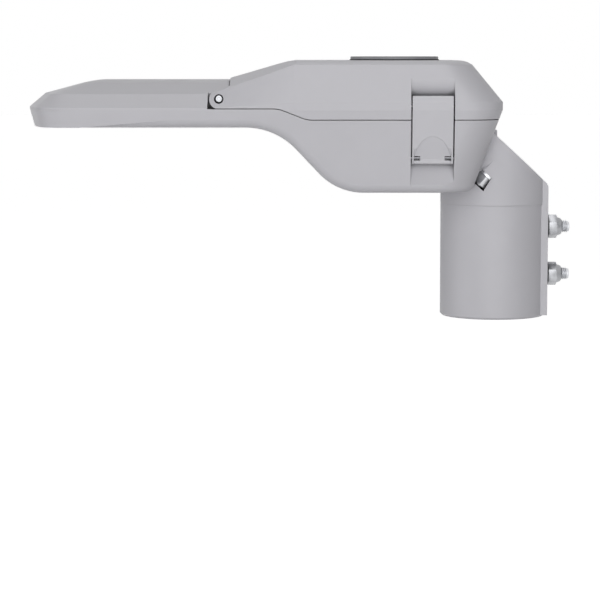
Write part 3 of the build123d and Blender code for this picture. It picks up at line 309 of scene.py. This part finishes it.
def combine(obj, tool, operation):
    # cuts, joins or intersects with a tool shape, which is then removed
    applyModifier(obj, "BOOLEAN", operation=operation, solver="EXACT", object=tool)
    drop(tool)


def addCylinder(sides, radius, height, middle):
    # an upright cylinder, its place kept in its mesh
    bpy.ops.object.select_all(action="DESELECT")
    bpy.ops.mesh.primitive_cylinder_add(vertices=sides, radius=radius, depth=height,
                                        location=(0, 0, middle))
    bpy.ops.object.transform_apply(location=True, rotation=True, scale=True)
    return bpy.context.object


def bevelEnds(obj, height, width, segments):
    # bevels the outer edges that lie in the plane z = height
    pick(obj)
    bpy.ops.object.mode_set(mode="EDIT")
    bpy.ops.mesh.select_mode(type="EDGE")
    bpy.ops.mesh.select_all(action="DESELECT")
    bpy.ops.object.mode_set(mode="OBJECT")
    points = obj.data.vertices
    for edge in obj.data.edges:
        edge.select = all(abs(points[i].co.z - height) < samePlane for i in edge.vertices)
    bpy.ops.object.mode_set(mode="EDIT")
    bpy.ops.mesh.bevel(offset=width, segments=segments)
    bpy.ops.object.mode_set(mode="OBJECT")


def closeUp(obj, openSides=0):
    # fills open ends of up to openSides edges and points all faces outwards
    pick(obj)
    bpy.ops.object.mode_set(mode="EDIT")
    bpy.ops.mesh.select_all(action="SELECT")
    if openSides:
        bpy.ops.mesh.fill_holes(sides=openSides)
    bpy.ops.mesh.normals_make_consistent(inside=False)
    bpy.ops.object.mode_set(mode="OBJECT")


def settle(obj, name, node, turn, place, finish):
    # puts a copy in place, bakes its place into the mesh and ties it to the housing
    pick(obj)
    bpy.ops.object.duplicate(linked=False)
    copy = bpy.context.object
    copy.name = name
    copy.rotation_euler = turn
    copy.location = place
    bpy.ops.object.transform_apply(location=True, rotation=True, scale=True)
    bpy.ops.object.shade_smooth_by_angle(angle=math.radians(smoothAngle))
    copy.data.materials.clear()
    copy.data.materials.append(finishes[finish])
    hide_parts(node)
    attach(copy, "housing")


# sizes in metres; rootHalf and crestHalf are half the ridge's thickness as shares of the pitch
threads = {
    "diameter": 0.010, "pitch": 0.0015, "depth": 0.00085, "pointChamfer": 0.0009, "steps": 28,
    "rootHalf": 0.46, "crestHalf": 0.07, "coreSides": 40, "coreExtra": 0.00006,
}


def makeThreadedRod(length):
    # a core with a helical ridge along its whole length and a chamfered point at the top
    crest = threads["diameter"] / 2
    root = crest - threads["depth"]
    half = threads["pitch"] * threads["rootHalf"]
    flat = threads["pitch"] * threads["crestHalf"]
    bpy.ops.object.select_all(action="DESELECT")
    bpy.ops.mesh.primitive_circle_add(vertices=4, radius=crest, fill_type="NOTHING")
    ridge = bpy.context.object
    corners = [(root, -half), (crest, -flat), (crest, flat), (root, half)]
    for vertex, (x, z) in zip(ridge.data.vertices, corners):
        vertex.co = (x, 0, z + threads["pitch"] / 2)
    turns = int((length - threads["pointChamfer"]) / threads["pitch"]) - 1
    applyModifier(ridge, "SCREW", axis="Z", angle=2 * math.pi, screw_offset=threads["pitch"],
                  iterations=turns, steps=threads["steps"], render_steps=threads["steps"])
    closeUp(ridge, openSides=len(corners))
    core = addCylinder(threads["coreSides"], root + threads["coreExtra"], length, length / 2)
    bevelEnds(core, length, threads["pointChamfer"], 2)
    pick(core)
    ridge.select_set(True)
    bpy.ops.object.join()
    return core


# the collar's sizes are shares of the width across flats, its rounding a share of its height
nuts = {
    "flats": 0.017, "edge": 0.00018, "cornerCut": 0.0008, "innerCut": 0.4, "sides": 96,
    "collarBase": 0.46, "collarTop": 0.37, "collarRound": 0.35,
    "boreSides": 64, "boreTight": 0.0001, "borePast": 0.004,
}


def makeNut(height, collar):
    # a hexagon with rounded-off corners, a bored thread and, on a locking nut, its collar
    corner = nuts["flats"] / math.sqrt(3)
    nut = addCylinder(6, corner, height, height / 2)
    rounder = addCylinder(nuts["sides"], corner, height + 2 * overlap, height / 2)
    bevelEnds(rounder, height + overlap, nuts["cornerCut"], 1)
    bevelEnds(rounder, -overlap, nuts["cornerCut"] * nuts["innerCut"], 1)
    combine(nut, rounder, "INTERSECT")
    if collar > 0:
        bpy.ops.object.select_all(action="DESELECT")
        bpy.ops.mesh.primitive_cone_add(vertices=nuts["sides"], depth=collar,
                                        radius1=nuts["flats"] * nuts["collarBase"],
                                        radius2=nuts["flats"] * nuts["collarTop"],
                                        location=(0, 0, height + collar / 2))
        crown = bpy.context.object
        bpy.ops.object.transform_apply(location=True, rotation=True, scale=True)
        bevelEnds(crown, height + collar, collar * nuts["collarRound"], 3)
        combine(nut, crown, "UNION")
    bore = addCylinder(nuts["boreSides"], threads["diameter"] / 2 - nuts["boreTight"],
                       height + collar + nuts["borePast"], (height + collar) / 2)
    combine(nut, bore, "DIFFERENCE")
    applyModifier(nut, "BEVEL", width=nuts["edge"], segments=2, limit_method="ANGLE",
                  angle_limit=math.radians(sharpAngle))
    closeUp(nut)
    return nut


# face is the pad's outer face, inner and outer are the screws' ends, turn is the nuts' in degrees
clampSeat = {
    "face": 0.0431, "washer": 0.0022, "heights": (0.0338, 0.0725), "inner": 0.0402,
    "outer": 0.0624, "nut": 0.0068, "collar": 0.0042, "turn": 97.0,
}
lockNut = makeNut(clampSeat["nut"], clampSeat["collar"])
clampRod = makeThreadedRod(clampSeat["outer"] - clampSeat["inner"])
lying = Euler((0, math.radians(90), 0))
nutTurn = lying.to_matrix() @ Euler((0, 0, math.radians(clampSeat["turn"]))).to_matrix()
for count, height in enumerate(clampSeat["heights"], start=1):
    settle(lockNut, "clampNut" + str(count), "clamp_nuts", nutTurn.to_euler(),
           (clampSeat["face"] + clampSeat["washer"], 0, height), "stainless_steel")
    settle(clampRod, "clampScrew" + str(count), "clamp_screws", lying,
           (clampSeat["inner"], 0, height), "litFixingSteel")
drop(lockNut)
drop(clampRod)
print("clamp screws and locking nuts modelled")

# roof is the slope of the neck's roof in degrees; the stud's foot lies down the roof from its
# crossing with the plane x = 0, and depth below it
studSeat = {
    "roof": 42.4, "crossing": 0.1471, "down": 0.0149, "depth": 0.0275, "side": 0.0335,
    "washer": 0.0020, "nut": 0.0084, "tail": 0.0012, "above": 0.0210,
}
slope = math.radians(studSeat["roof"])
along = Vector((math.cos(slope), 0, -math.sin(slope)))
upright = Vector((math.sin(slope), 0, math.cos(slope)))
plainNut = makeNut(studSeat["nut"], 0)
below = studSeat["washer"] + studSeat["nut"] + studSeat["tail"]
stud = makeThreadedRod(below + studSeat["above"])
pointingDown = Euler((0, slope, 0)).to_matrix() @ Euler((math.pi, 0, 0)).to_matrix()
for side, sideName in ((-1, "Left"), (1, "Right")):
    middle = Vector((0, side * studSeat["side"], studSeat["crossing"]))
    foot = middle + along * studSeat["down"] - upright * studSeat["depth"]
    settle(plainNut, "neckNut" + sideName, "neck_nuts", pointingDown.to_euler(),
           foot - upright * studSeat["washer"], "litFixingSteel")
    settle(stud, "neckStud" + sideName, "neck_studs", pointingDown.to_euler(),
           foot + upright * studSeat["above"], "litFixingSteel")
drop(plainNut)
drop(stud)
print("neck studs and nuts modelled")


def seenRays(tree):
    # 1 for what the camera sees, itself or in a metal or through glass, and 0 for other light
    path = tree.nodes.new("ShaderNodeLightPath")
    either = path.outputs["Is Camera Ray"]
    for ray in ("Is Glossy Ray", "Is Transmission Ray"):
        larger = tree.nodes.new("ShaderNodeMath")
        larger.operation = "MAXIMUM"
        tree.links.new(either, larger.inputs[0])
        tree.links.new(path.outputs[ray], larger.inputs[1])
        either = larger.outputs["Value"]
    return either


def switchShader(tree, switch, off, on, end):
    mix = tree.nodes.new("ShaderNodeMixShader")
    tree.links.new(switch, mix.inputs[0])
    tree.links.new(off, mix.inputs[1])
    tree.links.new(on, mix.inputs[2])
    tree.links.new(mix.outputs["Shader"], tree.nodes[end].inputs["Surface"])


stage = {"floorHeight": -0.24, "size": 30.0, "grey": 0.8, "roughness": 0.9, "glow": 0.9}


def makePaleFloor():
    # the camera sees it white with the object's faint shadow, and its light on the object is plain
    grey = stage["grey"]
    mat, tree, shader = newMaterial("paleFloor", (grey, grey, grey, 1.0), stage["roughness"])
    glow = tree.nodes.new("ShaderNodeEmission")
    glow.inputs["Strength"].default_value = stage["glow"]
    both = tree.nodes.new("ShaderNodeAddShader")
    tree.links.new(shader.outputs["BSDF"], both.inputs[0])
    tree.links.new(glow.outputs["Emission"], both.inputs[1])
    switchShader(tree, seenRays(tree), shader.outputs["BSDF"], both.outputs["Shader"],
                 "Material Output")
    return mat


bpy.ops.object.select_all(action="DESELECT")
bpy.ops.mesh.primitive_plane_add(size=stage["size"], location=(0, 0, stage["floorHeight"]))
floor = bpy.context.object
floor.name = "floor"
floor.data.materials.append(makePaleFloor())

sky = {"colour": (1, 1, 1, 1), "light": 0.02, "seen": 1.0}
world = bpy.data.worlds.new("studio")
bpy.context.scene.world = world
world.use_nodes = True
worldTree = world.node_tree
dimSky = worldTree.nodes["Background"]
whiteSky = worldTree.nodes.new("ShaderNodeBackground")
for background, strength in ((dimSky, sky["light"]), (whiteSky, sky["seen"])):
    background.inputs["Color"].default_value = sky["colour"]
    background.inputs["Strength"].default_value = strength
switchShader(worldTree, seenRays(worldTree), dimSky.outputs["Background"],
             whiteSky.outputs["Background"], "World Output")

lampAim = (-0.15, 0, 0.12)
lamps = {
    "front": {"place": (0.06, -2.0, 0.25), "size": 2.0, "power": 32.9},
    "left": {"place": (-2.27, -0.57, 0.3), "size": 1.6, "power": 13.0},
    "top": {"place": (-0.15, 0.3, 1.8), "size": 1.2, "power": 7.9},
    "frontTop": {"place": (-0.15, -1.4, 1.5), "size": 1.0, "power": 3.6},
}
for lampName, lamp in lamps.items():
    bpy.ops.object.light_add(type="AREA", location=lamp["place"])
    light = bpy.context.object
    light.name = lampName + "Light"
    light.data.size = lamp["size"]
    light.data.energy = lamp["power"]
    aim = Vector(lampAim) - Vector(lamp["place"])
    light.rotation_euler = aim.to_track_quat("-Z", "Y").to_euler()

# pitchDown in degrees, lens and sensor in millimetres
cameraSetup = {"place": (-0.15812, -1.88199, 0.21461), "pitchDown": 6.154, "lens": 138.0,
               "sensor": 36.0}
bpy.ops.object.camera_add(location=cameraSetup["place"])
camera = bpy.context.object
camera.rotation_euler = (math.radians(90 - cameraSetup["pitchDown"]), 0, 0)
camera.data.lens = cameraSetup["lens"]
camera.data.sensor_width = cameraSetup["sensor"]
bpy.context.scene.camera = camera
bpy.context.scene.view_settings.view_transform = "Standard"
print("stage, lamps and camera ready")
